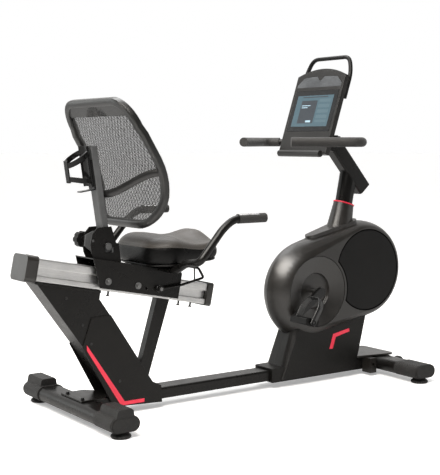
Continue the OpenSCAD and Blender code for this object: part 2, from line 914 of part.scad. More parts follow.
module backrest_post() {
    color(GREY) {
        on_post() translate([6, 0, 14]) linear_extrude(330) difference() {
            round_rect([25, 46], 4);
            round_rect([20, 41], 2);
        }
        difference() {
            pin(pivot, -24.6, 24.6, 44);
            pin(pivot, -40, 40, 16 + 2 * fit);
        }
        difference() {
            slab(18, 25.2) polygon([[-532, 568], [-516, 640], [-560, 640], [-590, 628],
                [-594, 590], [-560, 562]]);
            pin(pivot, 10, 40, 16 + 2 * fit);
        }
    }
}

module recline_knob() {
    lobes = 7;
    color(BLACK) {
        difference() {
            pin(knob_at, 36, 64, 56);
            for (k = [0 : lobes - 1]) pin(knob_at + 33 * [cos(360 * k / lobes), 0,
                sin(360 * k / lobes)], 30, 70, 16);
        }
        pin(knob_at, 26.2, 36, 10);
        pin(knob_at, 30.8, 36, 26);
    }
}

back_z = 652;
frame_size = [14, 13.5];    // half width and half depth of the backrest frame's bar

// Front of the backrest frame against height, from its lower edge to its top
back_curve = [[-438, 0], [-418, 45], [-406, 90], [-403, 125], [-411, 170], [-433, 222],
    [-460, 262], [-487, 304], [-535, 392], [-564, 441]];

function back_x(z) =
    let (h = min(max(z - back_z, 0.01), 440.9),
        i = [for (k = [0 : len(back_curve) - 2]) if (back_curve[k + 1][1] >= h) k][0],
        a = back_curve[i], b = back_curve[i + 1], t = (h - a[1]) / (b[1] - a[1]))
        a[0] + (b[0] - a[0]) * t;

// Front of the frame, smoothed over a span of height
function back_front(z) = (back_x(z - 24) + 2 * back_x(z - 8) + 2 * back_x(z + 8)
    + back_x(z + 24)) / 6;

// Half width of the frame's middle line: a rounded outline, narrower at the top
function corner(h, r, span) = let (k = max(0, 1 - h / r)) span * (1 - sqrt(max(0, 1 - k * k)));

function frame_loop() =
    let (half = back_half - frame_size[0], low = back_z + frame_size[0],
        high = back_z + back_h - frame_size[0], r_low = 118, r_high = 84, n = 9,
        right = concat(
            [for (k = [0 : n]) let (a = 90 * k / n)
                [-(half - 16 - r_low * (1 - sin(a))), low + r_low * (1 - cos(a))]],
            [for (k = [1 : 7]) let (t = k / 8)
                [-(half - 16 + 16 * sin(180 * min(t * 0.62 + 0.02, 1))),
                    low + r_low + (high - r_high - low - r_low) * t]],
            [for (k = [0 : n]) let (a = 90 * k / n)
                [-(half - 12 - r_high * (1 - cos(a))), high - r_high * (1 - sin(a))]]),
        m = len(right))
    concat(right, [for (i = [m - 1 : -1 : 0]) [-right[i][0], right[i][1]]]);

module backrest_frame() {
    loop = [for (q = frame_loop()) [back_front(q[1]) - frame_size[1], q[0], q[1]]];
    half_bar = [for (k = [0 : 10])
        let (t = k / 10, z = 768 + 78 * (1 - cos(180 * pow(t, 1.1))) / 2)
            [-531 + (back_front(846) - 14 + 531) * pow(t, 1.4), -(back_half - 20) * t, z]];
    lumbar = concat([for (i = [10 : -1 : 0]) half_bar[i]],
        [for (i = [1 : 10]) [half_bar[i][0], -half_bar[i][1], half_bar[i][2]]]);
    band = [[-212, -30], [212, -30], [205, -10], [168, 22], [-168, 22], [-205, -10]];
    color(DARK) {
        sweep(loop, [for (q = oval(1, 1, 12)) [
            frame_size[0] * sign(q[0]) * pow(abs(q[0]), 0.6),
            frame_size[1] * sign(q[1]) * pow(abs(q[1]), 0.6)]], [0.9, 0, 0.3], closed = true);
        sweep(lumbar, oval(8, 14, 10), [0, 0, 1]);
        translate([-562, 0, 1058]) rotate([0, -31, 0]) bar_x(-3, 3) polygon(band);
    }
}

module backrest_mesh() {
    rows = 14;
    cols = 8;
    thick = 2;
    low = back_z + 16;
    high = back_z + back_h - 16;
    function half_at(z) =
        let (d = min(z - low, 96), u = min(high - z, 66),
            a = 96 - sqrt(max(0, 96 * 96 - (96 - d) * (96 - d))),
            b = 66 - sqrt(max(0, 66 * 66 - (66 - u) * (66 - u))))
            back_half - 32 - a - b;
    points = [for (side = [0, 1], r = [0 : rows], c = [0 : cols])
        let (z = low + (high - low) * (0.5 - 0.5 * cos(180 * r / rows)),
            y = (2 * c / cols - 1) * half_at(z))
            [back_front(z) - 8 - thick * side - 10 * (1 - pow(y / back_half, 2)), y, z]];
    w = cols + 1;
    size = w * (rows + 1);
    faces = [for (r = [0 : rows - 1], c = [0 : cols - 1]) let (i = r * w + c) each [
        [i, i + w, i + w + 1], [i, i + w + 1, i + 1],
        [size + i, size + i + w + 1, size + i + w], [size + i, size + i + 1, size + i + w + 1]]];
    sides = [for (r = [0 : rows - 1]) let (i = r * w, j = i + cols) each [
        [i, size + i, size + i + w], [i, size + i + w, i + w],
        [j, j + w, size + j + w], [j, size + j + w, size + j]]];
    ends = [for (c = [0 : cols - 1]) let (i = c, j = rows * w + c) each [
        [i, i + 1, size + i + 1], [i, size + i + 1, size + i],
        [j, size + j, size + j + 1], [j, size + j + 1, j + 1]]];
    color(GREY) polyhedron(points = points, faces = concat(faces, sides, ends), convexity = 4);
}

cage_at = [-52, 0, 0];     // middle of the bottle, from the back of the post

module bottle_cage() {
    r = 42;
    ring = function(z, tilt) [for (k = [0 : 16])
        let (a = 35 + 290 * k / 16) [r * cos(a), r * sin(a), z + tilt * cos(a)]];
    color(BLACK) on_post() translate([-6 - 48, 0, 0]) {
        translate([0, 0, 210]) intersection() {
            linear_extrude(138) difference() {
                circle(r = r + 2.5);
                circle(r = r - 2.5);
            }
            translate([40, 0, 60]) cube([60, 58, 200], center = true);
        }
        sweep(ring(312, 20), [[-2.5, -9], [2.5, -9], [2.5, 9], [-2.5, 9]], [0, 0, 1]);
        sweep(ring(236, -12), [[-2.5, -8], [2.5, -8], [2.5, 8], [-2.5, 8]], [0, 0, 1]);
        translate([-r, 0, 272]) cube([5, 24, 76], center = true);
        translate([20, 0, 198]) cube([58, 26, 4], center = true);
        translate([44, 0, 250]) cube([7, 40, 100], center = true);
    }
}

base_tube();
rear_stabilizer();
front_stabilizer();
rear_end_caps();
front_end_caps();
frame_bolts();
rear_leg();
leg_cover_right();
leg_cover_left();
front_strut();
seat_rail();
rail_end_caps();
lower_shroud_right();
lower_shroud_left();
trim_stripes();
drive_housing_right();
drive_housing_left();
flywheel_covers();
inner_frame();
drive_belt();
front_top_cover();
power_inlet();
mast_collar();
mast_sleeve();
mast_tube();
console_arm();
handlebar();
handlebar_grips();
console_housing();
console_screen();
console_trim();
console_handle();
foot_rear_right();
foot_rear_left();
foot_front_right();
foot_front_left();
transport_wheel_right();
transport_wheel_left();
crank_axle();
drive_pulley();
crank_discs();
crank_arms();
pedal_right();
pedal_left();
pedal_strap_right();
pedal_strap_left();
flywheel();
seat_carriage();
carriage_bolts();
seat_pan();
seat_pad();
seat_handlebar();
seat_grips();
pulse_plates();
release_bail();
backrest_post();
recline_knob();
backrest_frame();
backrest_mesh();
bottle_cage();
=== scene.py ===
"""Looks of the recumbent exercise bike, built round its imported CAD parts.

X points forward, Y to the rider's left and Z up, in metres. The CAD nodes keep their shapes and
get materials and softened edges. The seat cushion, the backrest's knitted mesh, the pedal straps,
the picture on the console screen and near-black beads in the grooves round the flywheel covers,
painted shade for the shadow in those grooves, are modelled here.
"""

import json
import math

import bmesh
import bpy
from mathutils import Matrix, Vector
from mathutils.bvhtree import BVHTree


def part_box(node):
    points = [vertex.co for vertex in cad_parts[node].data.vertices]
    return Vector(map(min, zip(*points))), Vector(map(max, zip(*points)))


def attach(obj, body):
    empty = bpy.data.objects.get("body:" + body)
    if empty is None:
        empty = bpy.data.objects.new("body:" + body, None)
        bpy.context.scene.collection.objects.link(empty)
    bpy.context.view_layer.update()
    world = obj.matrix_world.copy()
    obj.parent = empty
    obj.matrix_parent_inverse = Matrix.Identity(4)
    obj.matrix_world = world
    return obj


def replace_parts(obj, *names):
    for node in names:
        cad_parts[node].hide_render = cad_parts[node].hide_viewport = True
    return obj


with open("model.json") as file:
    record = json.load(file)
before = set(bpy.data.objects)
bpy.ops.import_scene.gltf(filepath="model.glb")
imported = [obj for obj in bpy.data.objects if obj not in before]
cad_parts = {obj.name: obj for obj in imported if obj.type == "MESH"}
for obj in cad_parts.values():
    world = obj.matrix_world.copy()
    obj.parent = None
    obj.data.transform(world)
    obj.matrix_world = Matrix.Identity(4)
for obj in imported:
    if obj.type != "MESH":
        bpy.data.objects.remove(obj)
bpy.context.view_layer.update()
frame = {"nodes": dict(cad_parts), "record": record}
nodes = frame["nodes"]
scene = bpy.context.scene

# ---------- places that several pieces share, as the CAD source has them ----------

CONSOLE_AT = Vector((0.382, 0, 1.001))
CONSOLE_TILT = math.radians(18.4)
PAD_AT = Vector((-0.270, 0, 0.5315))
PAD_TILT = math.radians(-3)
PAD_LEN = 0.296
PAD_WIDTH = 0.344
PEDAL_TILT = math.radians(12)
STRAP_LEAN = math.radians(20)
RAIL_TILT = math.radians(11.3)


def local_frame(at, tilt):
    """Places a piece made round the origin at a point, leaning about the Y axis."""
    return Matrix.Translation(at) @ Matrix.Rotation(tilt, 4, "Y")


CONSOLE = local_frame(CONSOLE_AT, CONSOLE_TILT)
PAD = local_frame(PAD_AT, PAD_TILT)

# ---------- camera, light and floor ----------


def make_camera():
    data = bpy.data.cameras.new("camera")
    data.lens = 80.24
    data.clip_end = 100
    camera = bpy.data.objects.new("camera", data)
    camera.location = (-2.307, -3.194, 0.945)
    camera.rotation_euler = (math.radians(90 - 5.15), 0, math.radians(-35.38))
    scene.collection.objects.link(camera)
    scene.camera = camera


def make_lamp(name, kind, energy, size, at, target, colour=(1, 1, 1)):
    data = bpy.data.lights.new(name, kind)
    data.energy = energy
    data.color = colour
    if kind == "SUN":
        data.angle = size
    else:
        data.shape = "RECTANGLE"
        data.size, data.size_y = size
    lamp = bpy.data.objects.new(name, data)
    lamp.location = at
    lamp.rotation_euler = (Vector(target) - Vector(at)).to_track_quat("-Z", "Y").to_euler()
    scene.collection.objects.link(lamp)


BACKDROP = (0.57, 0.80, 0.16)           # where the bright backdrop stands
GLOW = (-0.15, 0.75, 0.10, 0.85)        # from and to this nearness, from and to this strength


def make_world():
    """A dim studio with a bright backdrop behind the object; plain white to the camera."""
    world = bpy.data.worlds.new("studio")
    scene.world = world
    world.use_nodes = True
    tree = world.node_tree
    tree.nodes.clear()
    out = tree.nodes.new("ShaderNodeOutputWorld")
    seen = tree.nodes.new("ShaderNodeBackground")
    fill = tree.nodes.new("ShaderNodeBackground")
    mix = tree.nodes.new("ShaderNodeMixShader")
    path = tree.nodes.new("ShaderNodeLightPath")
    coord = tree.nodes.new("ShaderNodeTexCoord")
    dot = tree.nodes.new("ShaderNodeVectorMath")
    glow = tree.nodes.new("ShaderNodeMapRange")
    dot.operation = "DOT_PRODUCT"
    dot.inputs[1].default_value = BACKDROP
    glow.interpolation_type = "SMOOTHSTEP"
    for socket, value in zip(glow.inputs[1:5], GLOW):
        socket.default_value = value
    seen.inputs["Color"].default_value = (1, 1, 1, 1)
    seen.inputs["Strength"].default_value = 1.0
    fill.inputs["Color"].default_value = (1, 0.985, 0.965, 1)
    tree.links.new(coord.outputs["Generated"], dot.inputs[0])
    tree.links.new(dot.outputs["Value"], glow.inputs[0])
    tree.links.new(glow.outputs[0], fill.inputs["Strength"])
    tree.links.new(path.outputs["Is Camera Ray"], mix.inputs[0])
    tree.links.new(fill.outputs[0], mix.inputs[1])
    tree.links.new(seen.outputs[0], mix.inputs[2])
    tree.links.new(mix.outputs[0], out.inputs["Surface"])


scene.view_settings.view_transform = "Standard"
make_camera()
make_world()
make_lamp("sun", "SUN", 1.2, math.radians(44), (-2.3, -1.9, 4.6), (0, 0, 0.4))
make_lamp("key", "AREA", 230, (3.0, 2.6), (-2.1, -1.2, 3.5), (0.2, 0, 0.5), (1, 0.95, 0.88))
make_lamp("side", "AREA", 4, (0.5, 1.8), (2.9, -1.9, 1.2), (0.4, 0, 0.5), (1, 0.98, 0.95))
make_lamp("left", "AREA", 20, (1.8, 2.4), (-2.7, 2.9, 1.5), (0, 0, 0.5), (0.97, 1, 0.98))
make_lamp("top", "AREA", 46, (2.4, 1.6), (0.2, 1.0, 3.0), (0, 0, 0.5))

# ---------- materials ----------


class Recipe:
    """A node material, built a step at a time."""

    def __init__(self, name):
        self.mat = bpy.data.materials.new(name)
        self.mat.use_nodes = True
        self.tree = self.mat.node_tree
        self.shader = self.tree.nodes["Principled BSDF"]
        self.height = None

    def add(self, kind, settings=(), **inputs):
        node = self.tree.nodes.new("ShaderNode" + kind)
        for key, value in dict(settings).items():
            setattr(node, key, value)
        for key, value in inputs.items():
            self.put(node.inputs[int(key[1:]) if key[1:].isdigit() else key], value)
        return node

    def put(self, socket, value):
        if isinstance(value, bpy.types.NodeSocket):
            self.tree.links.new(value, socket)
        else:
            socket.default_value = value

    def place(self, scale=(1, 1, 1), turn=(0, 0, 0)):
        """Points on the piece, in metres, stretched along its axes."""
        coord = self.add("TexCoord").outputs["Object"]
        node = self.add("Mapping", {"vector_type": "TEXTURE"}, Vector=coord)
        node.inputs["Rotation"].default_value = turn
        node.inputs["Scale"].default_value = [1 / s for s in scale]
        return node.outputs[0]

    def noise(self, scale, detail=2.0, roughness=0.5, at=None, distortion=0.0):
        node = self.add("TexNoise", Vector=at or self.place(), Scale=scale, Detail=detail,
                        Roughness=roughness, Distortion=distortion)
        return node.outputs[0]

    def cells(self, scale, at=None, feature="F1", smooth=None):
        node = self.add("TexVoronoi", {"feature": feature}, Vector=at or self.place(),
                        Scale=scale)
        if smooth is not None:
            node.inputs["Smoothness"].default_value = smooth
        return node.outputs["Distance"]

    def math(self, operation, a, b=0.0):
        return self.add("Math", {"operation": operation}, _0=a, _1=b).outputs[0]

    def span(self, value, low, high, start=0.0, end=1.0):
        """Value taken from the range low..high to start..end, held at its ends."""
        node = self.add("MapRange", {}, _0=value, _1=low, _2=high, _3=start, _4=end)
        return node.outputs[0]

    def blend(self, factor, a, b):
        node = self.add("Mix", {"data_type": "RGBA"}, _0=factor)
        self.put(node.inputs[6], rgba(a))
        self.put(node.inputs[7], rgba(b))
        return node.outputs[2]

    def relief(self, height, depth):
        """Adds a relief of that depth, in metres, to the surface."""
        node = self.add("Bump", {}, Height=height, Distance=depth)
        if self.height is not None:
            self.put(node.inputs["Normal"], self.height)
        self.height = node.outputs[0]

    def done(self, colour, roughness, **plain):
        self.put(self.shader.inputs["Base Color"], colour)
        self.put(self.shader.inputs["Roughness"], roughness)
        for key, value in plain.items():
            self.shader.inputs[key.replace("_", " ")].default_value = value
        if self.height is not None:
            self.put(self.shader.inputs["Normal"], self.height)
        return self.mat


def rgba(value):
    return value if isinstance(value, bpy.types.NodeSocket) else (*value, 1)


def grey(value, warmth=0.0):
    return (value * (1 + warmth), value, value * (1 - warmth))


def scuffed(recipe, dark, light, dust=0.5):
    """Colour of a part that has stood in a gym: cloudy, with a little pale dust near the floor."""
    cloud = recipe.span(recipe.noise(9, 4, 0.6), 0.35, 0.7)
    colour = recipe.blend(cloud, dark, light)
    coord = recipe.add("TexCoord").outputs["Object"]
    height = recipe.add("SeparateXYZ", {}, _0=coord).outputs["Z"]
    low = recipe.span(height, 0.0, 0.24, dust, 0.0)
    specks = recipe.span(recipe.noise(210, 5, 0.75), 0.52, 0.75)
    return recipe.blend(recipe.math("MULTIPLY", low, specks), colour, grey(0.13, 0.05))


def paint(name, dark, light, rough=(0.34, 0.46), peel=0.00009, dust=0.12, **plain):
    """Powder coat: fine orange peel over slow waves, and clouded gloss."""
    r = Recipe(name)
    r.relief(r.noise(620, 3, 0.55), peel)
    r.relief(r.noise(60, 2), peel * 0.9)
    rough_map = r.span(r.noise(26, 4, 0.6), 0.3, 0.7, *rough)
    return r.done(scuffed(r, dark, light, dust), rough_map, **plain)


def plastic(name, dark, light, rough=(0.4, 0.52), grain=0.00013, size=900, dust=0.12, **plain):
    """Moulded plastic with a spark-eroded grain."""
    r = Recipe(name)
    r.relief(r.cells(size, feature="SMOOTH_F1", smooth=0.6), grain)
    r.relief(r.noise(size * 0.4, 3, 0.6), grain * 0.7)
    rough_map = r.span(r.noise(18, 4, 0.65), 0.3, 0.7, *rough)
    return r.done(scuffed(r, dark, light, dust), rough_map, **plain)


def metal(name, dark, light, rough, lines=(1, 1, 1), turn=(0, 0, 0), scale=600, depth=0.00003,
          **plain):
    """Bare metal with brushed lines along one axis."""
    r = Recipe(name)
    at = r.place(lines, turn)
    streaks = r.noise(scale, 4, 0.7, at)
    r.relief(streaks, depth)
    patches = r.noise(14, 3, 0.6)
    tone = r.math("MULTIPLY", streaks, r.span(patches, 0.3, 0.7, 0.75, 1.15))
    colour = r.blend(r.span(tone, 0.3, 0.7), dark, light)
    return r.done(colour, r.span(tone, 0.3, 0.75, *rough), Metallic=1.0, **plain)


def foam_material():
    """Closed-cell foam tube: fine open pores and a dull sheen."""
    r = Recipe("foam")
    r.relief(r.cells(1300), 0.00035)
    r.relief(r.noise(240, 4, 0.65), 0.0003)
    pores = r.span(r.cells(1300), 0.1, 0.6)
    colour = r.blend(pores, grey(0.007, 0.06), grey(0.018, 0.06))
    rough_map = r.span(r.noise(40, 3), 0.3, 0.7, 0.5, 0.65)
    return r.done(colour, rough_map, Sheen_Weight=0.1, Sheen_Roughness=0.5)


def vinyl_material(name, dark, light, rough, **plain):
    """Soft upholstery vinyl: a leather grain of cells and creases, and rubbed patches scattered at
    random.
    """
    r = Recipe(name)
    warp = r.math("MULTIPLY", r.noise(90, 3), 0.0016)
    at = r.add("VectorMath", {"operation": "ADD"}, _0=r.place(), _1=warp).outputs[0]
    r.relief(r.cells(620, at, "DISTANCE_TO_EDGE"), 0.0003)
    r.relief(r.noise(1500, 2), 0.0001)
    r.relief(r.noise(30, 2, 0.5, None, 0.4), 0.0004)
    rubbed = r.span(r.noise(11, 4, 0.6), 0.35, 0.7)
    colour = r.blend(rubbed, dark, light)
    rough_map = r.span(r.noise(22, 4, 0.6), 0.3, 0.7, *rough)
    return r.done(colour, rough_map, **plain)


def mesh_material(name, pitch, open_above, tone):
    """Knitted mesh: threads round small openings in a diamond pattern, which shows what is
    behind it."""
    r = Recipe(name)
    coord = r.add("TexCoord").outputs["Object"]
    parts = r.add("SeparateXYZ", {}, _0=coord).outputs
    across = r.math("MULTIPLY", parts["Y"], math.pi / pitch)
    up = r.math("MULTIPLY", parts["Z"], math.pi / pitch * 0.82)
    wave_a = r.math("SINE", r.math("ADD", across, up))
    wave_b = r.math("SINE", r.math("SUBTRACT", across, up))
    cell = r.math("ABSOLUTE", r.math("MULTIPLY", wave_a, wave_b))
    solid = r.span(cell, open_above, open_above + 0.12, 1.0, 0.0)
    r.relief(cell, 0.0006)
    r.relief(r.noise(2600, 2), 0.0002)
    thread = r.span(r.noise(700, 3), 0.3, 0.7)
    slow = r.span(r.noise(6, 2), 0.35, 0.65)
    dark = r.blend(slow, grey(tone * 0.72), grey(tone))
    colour = r.blend(thread, dark, grey(tone * 1.25, 0.02))
    r.put(r.shader.inputs["Alpha"], solid)
    return r.done(colour, r.span(thread, 0, 1, 0.6, 0.75), Sheen_Weight=0.2)


def lit_material(name, base, light, strength, rough=0.14):
    """A lit part of the display, with the fine grid of its pixels."""
    r = Recipe(name)
    grid = r.cells(900, r.place((1, 1, 1), (0, CONSOLE_TILT, 0)))
    colour = r.blend(r.span(grid, 0.2, 0.7), base, light)
    r.put(r.shader.inputs["Emission Color"], colour)
    return r.done(colour, r.span(r.noise(30, 3), 0.3, 0.7, rough, rough + 0.08),
                  Emission_Strength=strength)


def glass_material():
    """Clear cover over the display's black border, with faint finger marks."""
    r = Recipe("screen")
    marks = r.span(r.noise(24, 5, 0.7, None, 1.2), 0.5, 0.75)
    colour = r.blend(marks, (0.006, 0.007, 0.008), (0.012, 0.013, 0.014))
    return r.done(colour, r.span(marks, 0, 1, 0.08, 0.2), Coat_Weight=0.4)


def ribbed_material(name, dark, light, pitch, rough=(0.5, 0.62)):
    """Textured end caps: a fine diamond knurl over moulding grain."""
    r = Recipe(name)
    coord = r.add("TexCoord").outputs["Object"]
    parts = r.add("SeparateXYZ", {}, _0=coord).outputs
    flat = r.math("ADD", parts["X"], parts["Y"])
    a = r.math("SINE", r.math("MULTIPLY", r.math("ADD", flat, parts["Z"]), math.pi / pitch))
    b = r.math("SINE", r.math("MULTIPLY", r.math("SUBTRACT", flat, parts["Z"]), math.pi / pitch))
    r.relief(r.math("MULTIPLY", a, b), 0.0005)
    r.relief(r.noise(1100, 3), 0.0002)
    return r.done(scuffed(r, dark, light, 0.25), r.span(r.noise(20, 4), 0.3, 0.7, *rough))


ALONG_RAIL = (0, RAIL_TILT, 0)
BLACK_PAINT = paint("black_paint", grey(0.0035, 0.08), grey(0.006, 0.08), (0.25, 0.35),
                    Specular_IOR_Level=0.3)
# HOUSING and the cover plastic below are lit and shaded copies of one plastic. HOUSING's lighter
# colour stands in for the light on the housing's shoulder, and the cover copy's darker colour is
# painted shade for the flat side faces of the leg covers and lower shrouds.
HOUSING = plastic("satin_plastic", grey(0.008, 0.14), grey(0.013, 0.14), (0.28, 0.37),
                  Specular_IOR_Level=0.85)
DARK_PLASTIC = plastic("dark_plastic", grey(0.003, 0.03), grey(0.005, 0.03), (0.38, 0.5), 0.0002,
                       Specular_IOR_Level=0.25)
CAPS = ribbed_material("cap_plastic", grey(0.005, 0.05), grey(0.009, 0.05), 0.0032)
GLOSS = plastic("gloss_black", grey(0.004), grey(0.007), (0.12, 0.2), 0.00003, 300)
SATIN_FRAME = plastic("frame_plastic", grey(0.006, 0.03), grey(0.01, 0.03), (0.27, 0.36),
                      Specular_IOR_Level=0.8)
COVER_SHADED_COPY = plastic("cover_plastic_painted_shade", grey(0.004, 0.1), grey(0.006, 0.1), (0.34, 0.44),
                Specular_IOR_Level=0.3)
RAIL = metal("rail_aluminium", grey(0.62), grey(0.88), (0.3, 0.45), (1.2, 60, 60), ALONG_RAIL, 26)
ZINC = metal("zinc_steel", grey(0.16), grey(0.34), (0.28, 0.42), scale=420)
PLATES = metal("pulse_steel", grey(0.55), grey(0.78), (0.2, 0.34), (3, 80, 80), scale=20)
CRANK_PAINT = paint("crank_paint", grey(0.003), grey(0.006), (0.24, 0.34), 0.00006)
POST_PAINT = paint("grey_paint", grey(0.075, -0.03), grey(0.11, -0.03), (0.36, 0.46), dust=0)
RED = paint("red_trim", (0.9, 0.035, 0.075), (0.98, 0.05, 0.1), (0.3, 0.4), 0.00005, dust=0)
RUBBER = plastic("rubber", grey(0.004), grey(0.009), (0.55, 0.7), 0.0003, 500, 0.8)
STRAP = plastic("strap_rubber", grey(0.006), grey(0.012), (0.24, 0.34), 0.00012, 500, 0,
                Specular_IOR_Level=0.8)
FOAM = foam_material()
# Near-black and almost unreflecting: painted shade for the grooves round the flywheel covers.
GROOVE_SHADE = plastic("groove_shade_black", grey(0.0004), grey(0.0007), (0.7, 0.8), 0.0002, 800, 0,
               Specular_IOR_Level=0.05)
THREAD = plastic("seat_thread", grey(0.05, 0.06), grey(0.11, 0.06), (0.5, 0.6), 0.0002, 1600, 0)
# The top's vinyl and the side band's are lit and shaded copies of one vinyl. The band's near-black
# colour is painted shade for the band turned away from the light, and the top's lighter tone
# stands in for the light falling on it.
VINYL = vinyl_material("seat_vinyl", grey(0.034, 0.13), grey(0.05, 0.13), (0.36, 0.44),
                       Sheen_Weight=0.12, Sheen_Roughness=0.4)
BAND_VINYL_SHADED = vinyl_material("band_vinyl_painted_shade", grey(0.002), grey(0.003), (0.26, 0.34),
                            Specular_IOR_Level=0.22)
FILM = metal("console_grey", grey(0.12, -0.04), grey(0.24, -0.04), (0.36, 0.5), (60, 2, 60),
             (0, CONSOLE_TILT, 0), 24)
GLASS = glass_material()
CONSOLE_PLASTIC = plastic("console_plastic", grey(0.007, 0.06), grey(0.012, 0.06), (0.28, 0.36))
BOLT_BLACK = metal("bolt_black", grey(0.03), grey(0.08), (0.32, 0.45), scale=420)

SLOTS = {
    "black_paint": BLACK_PAINT, "grey_paint": POST_PAINT, "crank_paint": CRANK_PAINT,
    "satin_plastic": HOUSING, "dark_plastic": DARK_PLASTIC, "gloss_black": GLOSS,
    "rail_aluminium": RAIL, "zinc_steel": ZINC, "red_trim": RED, "rubber": RUBBER,
    "foam": FOAM, "pulse_steel": PLATES, "screen": GLASS, "console_grey": FILM,
    "seat_vinyl": VINYL,
}
# Nodes whose finish differs a little from the rest of their slot. The leg covers and lower shrouds
# take the darker copy of the housing's plastic, as painted shade.
SPECIAL = {
    "leg_cover_right": COVER_SHADED_COPY, "leg_cover_left": COVER_SHADED_COPY, "lower_shroud_right": COVER_SHADED_COPY,
    "lower_shroud_left": COVER_SHADED_COPY, "rear_end_caps": CAPS, "front_end_caps": CAPS,
    "backrest_frame": SATIN_FRAME, "console_housing": CONSOLE_PLASTIC, "frame_bolts": BOLT_BLACK,
}
# Width of the rounded edges, where it isn't MAIN_BEVEL
BEVELS = {
    "drive_belt": 0, "trim_stripes": 0.0002, "console_trim": 0.0004, "console_screen": 0.0006,
    "frame_bolts": 0.0004, "carriage_bolts": 0.0004, "pulse_plates": 0.0003,
}
MAIN_BEVEL = 0.0011


def soften(piece, width):
    """Rounds the hard edges and smooths the rest, without moving a vertex of the mesh itself."""
    mesh = piece.data
    mesh.shade_smooth()
    weld = piece.modifiers.new("weld", "WELD")
    weld.merge_threshold = 0.00001
    if width:
        bevel = piece.modifiers.new("bevel", "BEVEL")
        bevel.width = width
        bevel.segments = 2
        bevel.limit_method = "ANGLE"
        bevel.angle_limit = math.radians(38)
        bevel.use_clamp_overlap = True
        bevel.miter_outer = "MITER_ARC"
    normals = piece.modifiers.new("normals", "WEIGHTED_NORMAL")
    normals.keep_sharp = True
    normals.weight = 60


def dress_nodes():
    """Gives every CAD node but the backrest's mesh its material and softened edges."""
    for part in frame["record"]["subparts"]:
        name = part["node"]
        if part["material_slot"] == "mesh_fabric":
            continue
        piece = nodes[name]
        piece.data.materials.clear()
        piece.data.materials.append(SPECIAL.get(name) or SLOTS[part["material_slot"]])
        soften(piece, BEVELS.get(name, MAIN_BEVEL))


dress_nodes()

# ---------- mesh building ----------


def new_piece(name, mesh, material, body):
    """Puts a mesh in the scene as a piece that rides on a body."""
    piece = bpy.data.objects.new(name, mesh)
    scene.collection.objects.link(piece)
    mesh.materials.append(material)
    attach(piece, body)
    return piece


def mesh_of(name, points, faces, smooth=True):
    mesh = bpy.data.meshes.new(name)
    mesh.from_pydata([tuple(p) for p in points], [], faces)
    if smooth:
        mesh.shade_smooth()
    mesh.update()
    return mesh


def tube_rings(path, radius, sides, closed):
    """Rings of points round a path, each square to it."""
    count = len(path)
    rings = []
    side = None
    for i, p in enumerate(path):
        ahead = path[(i + 1) % count] if closed else path[min(i + 1, count - 1)]
        behind = path[i - 1] if closed or i else path[0]
        along = (ahead - behind).normalized()
        if side is None:
            side = along.orthogonal().normalized()
        side = (side - along * side.dot(along)).normalized()
        top = along.cross(side)
        rings.append([p + (side * math.cos(a) + top * math.sin(a)) * radius
                      for a in (math.tau * k / sides for k in range(sides))])
    return rings


def ring_faces(count, sides, closed, start=0):
    """Faces between rings of points that follow one another from point number start."""
    spans = count if closed else count - 1
    return [[start + i * sides + j, start + i * sides + (j + 1) % sides,
             start + (i + 1) % count * sides + (j + 1) % sides,
             start + (i + 1) % count * sides + j]
            for i in range(spans) for j in range(sides)]


def fix_normals(mesh):
    """Turns all the faces of a closed mesh outwards."""
    bm = bmesh.new()
    bm.from_mesh(mesh)
    bmesh.ops.recalc_face_normals(bm, faces=bm.faces)
    bm.to_mesh(mesh)
    bm.free()


def tree_of(mesh):
    return BVHTree.FromPolygons([v.co for v in mesh.vertices], [p.vertices for p in mesh.polygons])


def smooth_step(x):
    x = min(max(x, 0.0), 1.0)
    return x * x * (3 - 2 * x)


# ---------- seat cushion ----------

TURNS = 112             # points round the cover
# Rings of the cover, from under the pad to its top: share of the pad's radius, and height
UNDER = ((0.3, 0.0002), (0.6, 0.0002), (0.86, 0.0002), (0.945, 0.001))
BAND = ((0.968, 0.005), (0.982, 0.013), (0.989, 0.022), (0.991, 0.031), (0.988, 0.04),
        (0.98, 0.047))
SEAM_HEIGHT = 0.052
SEAM_SHARE = 0.969
CROWN = ((0.966, 0.0555), (0.945, 0.062), (0.91, 0.0685), (0.86, 0.0738), (0.79, 0.078),
         (0.7, 0.081), (0.59, 0.083), (0.47, 0.0842), (0.35, 0.0848), (0.23, 0.0852),
         (0.11, 0.0854))
BAND_RISE = 0.62        # share of the saddle's rise that the band and the crown's edge take
CROWN_EASE = 0.38       # share of it that the crown loses towards its edge
RIM_HEIGHT = 0.03       # where the CAD pad's radius is measured
SWELL_CAP = 0.0045      # the most that a point may move in the simulation
SIM_FRAMES = 16
EASE_PASSES = 12        # rounds of averaging over the swelling
PIPING_RADIUS = 0.0021
STITCH_PITCH = 0.0052


def apply_modifiers(piece):
    """Replaces the mesh of a piece by what its modifiers make of it."""
    depsgraph = bpy.context.evaluated_depsgraph_get()
    made = bpy.data.meshes.new_from_object(piece.evaluated_get(depsgraph))
    piece.modifiers.clear()
    old = piece.data
    piece.data = made
    made.name = old.name
    bpy.data.meshes.remove(old)


def saddle(x, y):
    """Rise of the top at a point of the pad: a raised rim at the rear, a dished middle, and low
    thigh channels on both sides of a ridge that runs out to the front."""
    across = abs(y) / (PAD_WIDTH / 2)
    along = x / (PAD_LEN / 2)
    outer = smooth_step((across - 0.12) / 0.5)
    channel = -0.023 * smooth_step((along + 0.35) / 0.7) * outer
    ridge = 0.013 * smooth_step((along - 0.2) / 0.6) * (1 - outer)
    rear = 0.013 * smooth_step((-0.05 - along) / 0.6)
    dish = -0.006 * math.exp(-((along - 0.05) / 0.3) ** 2) * (1 - outer)
    return channel + ridge + rear + dish


